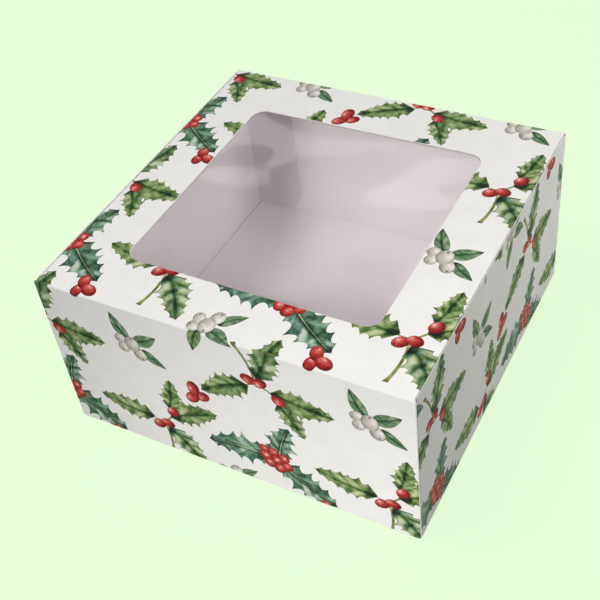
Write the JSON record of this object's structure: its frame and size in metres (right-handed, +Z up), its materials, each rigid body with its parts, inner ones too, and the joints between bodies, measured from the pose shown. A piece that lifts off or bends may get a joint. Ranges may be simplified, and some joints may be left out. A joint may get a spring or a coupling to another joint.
{
  "type": "windowed cake box",
  "caption": "Square folded-board cake box with a clear window in its hinged lid and a full-height drop front.",
  "frame": {"origin": "centre of the base, on the surface that the box stands on", "axes": "+Z up, +X to the right seen from the front, +Y towards the lid's hinge at the back"},
  "size_m": [0.254, 0.254, 0.127],
  "materials": {
    "printed_board": "satin coated board, printed outside",
    "plain_board": "matt uncoated board",
    "dried_glue": "dried paper glue",
    "clear_film": "clear glossy film"
  },
  "bodies": {
    "tray": {"floor_panel": "plain_board", "front_wall": "printed_board", "back_wall": "printed_board", "left_wall": "printed_board", "right_wall": "printed_board", "front_left_tab": "plain_board", "front_right_tab": "plain_board", "back_left_tab": "plain_board", "back_right_tab": "plain_board", "front_left_tab_glue": "dried_glue", "front_right_tab_glue": "dried_glue", "back_left_tab_glue": "dried_glue", "back_right_tab_glue": "dried_glue"},
    "lid": {"lid_panel": "printed_board", "window_film": "clear_film", "film_glue_front": "dried_glue", "film_glue_back": "dried_glue", "film_glue_left": "dried_glue", "film_glue_right": "dried_glue"},
    "drop_front": {"front_flap": "printed_board"},
    "left_dust": {"left_dust_flap": "plain_board"},
    "right_dust": {"right_dust_flap": "plain_board"}
  },
  "joints": [
    {"name": "lid_hinge", "type": "hinge", "parent": "tray", "child": "lid", "pos_m": [0, 0.1267, 0.1267], "axis": [-1, 0, 0], "range_deg": [0, 180]},
    {"name": "front_flap_hinge", "type": "hinge", "parent": "lid", "child": "drop_front", "pos_m": [0, -0.1267, 0.1267], "axis": [-1, 0, 0], "range_deg": [0, 90]},
    {"name": "left_dust_flap_hinge", "type": "hinge", "parent": "lid", "child": "left_dust", "pos_m": [-0.1255, 0, 0.1264], "axis": [0, -1, 0], "range_deg": [0, 85]},
    {"name": "right_dust_flap_hinge", "type": "hinge", "parent": "lid", "child": "right_dust", "pos_m": [0.1255, 0, 0.1264], "axis": [0, 1, 0], "range_deg": [0, 85]}
  ]
}
